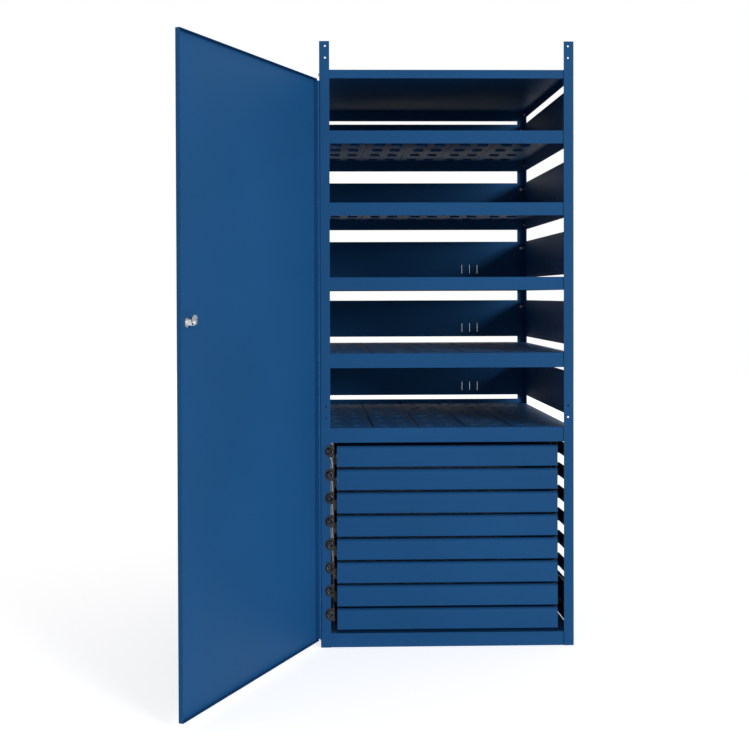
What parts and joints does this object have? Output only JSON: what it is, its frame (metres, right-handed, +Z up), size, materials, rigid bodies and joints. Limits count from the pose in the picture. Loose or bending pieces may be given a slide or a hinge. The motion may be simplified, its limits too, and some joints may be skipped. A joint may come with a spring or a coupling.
{
  "type": "drawer and shelf cabinet",
  "caption": "Tall open-sided steel cabinet with angle posts, pressed shelves over a stack of drawers, slotted back and side panels and a full-height lockable door.",
  "frame": {"origin": "centre of the rectangle of the four posts, on the floor", "axes": "+Z up, the front with the door and the drawers looks towards -Y, +X to the right seen from the front"},
  "size_m": [1.2285, 1.6584, 2],
  "materials": {
    "blue_paint": "satin enamel",
    "zinc_plate": "dark zinc plated",
    "bolt_steel": "zinc plated",
    "lock_chrome": "polished"
  },
  "bodies": {
    "frame": {"front_left_post": "blue_paint", "front_right_post": "blue_paint", "rear_left_post": "blue_paint", "rear_right_post": "blue_paint", "top_shelf": "blue_paint", "second_shelf": "blue_paint", "third_shelf": "blue_paint", "fourth_shelf": "blue_paint", "fifth_shelf": "blue_paint", "drawer_bay_shelf": "blue_paint", "base_shelf": "blue_paint", "back_panel_1": "blue_paint", "back_panel_2": "blue_paint", "back_panel_3": "blue_paint", "back_panel_4": "blue_paint", "back_panel_5": "blue_paint", "back_panel_6": "blue_paint", "left_side_panels": "blue_paint", "right_side_panels": "blue_paint", "shelf_bolts": "bolt_steel", "shelf_nuts": "bolt_steel", "panel_bolts": "bolt_steel", "panel_nuts": "bolt_steel", "hinge_post_leaf": "blue_paint", "hinge_pin": "bolt_steel", "left_cabinet_slides": "zinc_plate", "right_cabinet_slides": "zinc_plate", "left_slide_rails": "zinc_plate", "right_slide_rails": "zinc_plate", "rear_packing_strips": "blue_paint"},
    "door": {"door_panel": "blue_paint", "hinge_door_leaf": "blue_paint", "lock_barrel": "lock_chrome", "lock_nut": "lock_chrome"},
    "lock": {"lock_cam": "lock_chrome", "cam_screw": "lock_chrome"},
    "drawer_1": {"drawer_1": "blue_paint", "drawer_slides_1": "zinc_plate"},
    "middle_slides_1": {"middle_slides_1": "zinc_plate"},
    "drawer_2": {"drawer_2": "blue_paint", "drawer_slides_2": "zinc_plate"},
    "middle_slides_2": {"middle_slides_2": "zinc_plate"},
    "drawer_3": {"drawer_3": "blue_paint", "drawer_slides_3": "zinc_plate"},
    "middle_slides_3": {"middle_slides_3": "zinc_plate"},
    "drawer_4": {"drawer_4": "blue_paint", "drawer_slides_4": "zinc_plate"},
    "middle_slides_4": {"middle_slides_4": "zinc_plate"},
    "drawer_5": {"drawer_5": "blue_paint", "drawer_slides_5": "zinc_plate"},
    "middle_slides_5": {"middle_slides_5": "zinc_plate"},
    "drawer_6": {"drawer_6": "blue_paint", "drawer_slides_6": "zinc_plate"},
    "middle_slides_6": {"middle_slides_6": "zinc_plate"},
    "drawer_7": {"drawer_7": "blue_paint", "drawer_slides_7": "zinc_plate"},
    "middle_slides_7": {"middle_slides_7": "zinc_plate"},
    "drawer_8": {"drawer_8": "blue_paint", "drawer_slides_8": "zinc_plate"},
    "middle_slides_8": {"middle_slides_8": "zinc_plate"}
  },
  "joints": [
    {"name": "door_swing", "type": "hinge", "parent": "frame", "child": "door", "pos_m": [-0.4235, -0.4515, 0.95], "axis": [0, 0, -1], "range_deg": [-116, 60]},
    {"name": "lock_turn", "type": "hinge", "parent": "door", "child": "lock", "pos_m": [-0.7619, -1.17041, 1.093], "axis": [0.8988, -0.4384, 0], "range_deg": [0, 90]},
    {"name": "drawer_1_slide", "type": "slide", "parent": "frame", "child": "drawer_1", "axis": [0, -1, 0], "range_m": [0, 0.7]},
    {"name": "middle_slides_1_slide", "type": "slide", "parent": "frame", "child": "middle_slides_1", "axis": [0, -1, 0], "range_m": [0, 0.35]},
    {"name": "drawer_2_slide", "type": "slide", "parent": "frame", "child": "drawer_2", "axis": [0, -1, 0], "range_m": [0, 0.7]},
    {"name": "middle_slides_2_slide", "type": "slide", "parent": "frame", "child": "middle_slides_2", "axis": [0, -1, 0], "range_m": [0, 0.35]},
    {"name": "drawer_3_slide", "type": "slide", "parent": "frame", "child": "drawer_3", "axis": [0, -1, 0], "range_m": [0, 0.7]},
    {"name": "middle_slides_3_slide", "type": "slide", "parent": "frame", "child": "middle_slides_3", "axis": [0, -1, 0], "range_m": [0, 0.35]},
    {"name": "drawer_4_slide", "type": "slide", "parent": "frame", "child": "drawer_4", "axis": [0, -1, 0], "range_m": [0, 0.7]},
    {"name": "middle_slides_4_slide", "type": "slide", "parent": "frame", "child": "middle_slides_4", "axis": [0, -1, 0], "range_m": [0, 0.35]},
    {"name": "drawer_5_slide", "type": "slide", "parent": "frame", "child": "drawer_5", "axis": [0, -1, 0], "range_m": [0, 0.7]},
    {"name": "middle_slides_5_slide", "type": "slide", "parent": "frame", "child": "middle_slides_5", "axis": [0, -1, 0], "range_m": [0, 0.35]},
    {"name": "drawer_6_slide", "type": "slide", "parent": "frame", "child": "drawer_6", "axis": [0, -1, 0], "range_m": [0, 0.7]},
    {"name": "middle_slides_6_slide", "type": "slide", "parent": "frame", "child": "middle_slides_6", "axis": [0, -1, 0], "range_m": [0, 0.35]},
    {"name": "drawer_7_slide", "type": "slide", "parent": "frame", "child": "drawer_7", "axis": [0, -1, 0], "range_m": [0, 0.7]},
    {"name": "middle_slides_7_slide", "type": "slide", "parent": "frame", "child": "middle_slides_7", "axis": [0, -1, 0], "range_m": [0, 0.35]},
    {"name": "drawer_8_slide", "type": "slide", "parent": "frame", "child": "drawer_8", "axis": [0, -1, 0], "range_m": [0, 0.7]},
    {"name": "middle_slides_8_slide", "type": "slide", "parent": "frame", "child": "middle_slides_8", "axis": [0, -1, 0], "range_m": [0, 0.35]}
  ],
  "couplings": [
    {"joint": "middle_slides_1_slide", "follows": "drawer_1_slide", "ratio": 0.5},
    {"joint": "middle_slides_2_slide", "follows": "drawer_2_slide", "ratio": 0.5},
    {"joint": "middle_slides_3_slide", "follows": "drawer_3_slide", "ratio": 0.5},
    {"joint": "middle_slides_4_slide", "follows": "drawer_4_slide", "ratio": 0.5},
    {"joint": "middle_slides_5_slide", "follows": "drawer_5_slide", "ratio": 0.5},
    {"joint": "middle_slides_6_slide", "follows": "drawer_6_slide", "ratio": 0.5},
    {"joint": "middle_slides_7_slide", "follows": "drawer_7_slide", "ratio": 0.5},
    {"joint": "middle_slides_8_slide", "follows": "drawer_8_slide", "ratio": 0.5}
  ]
}
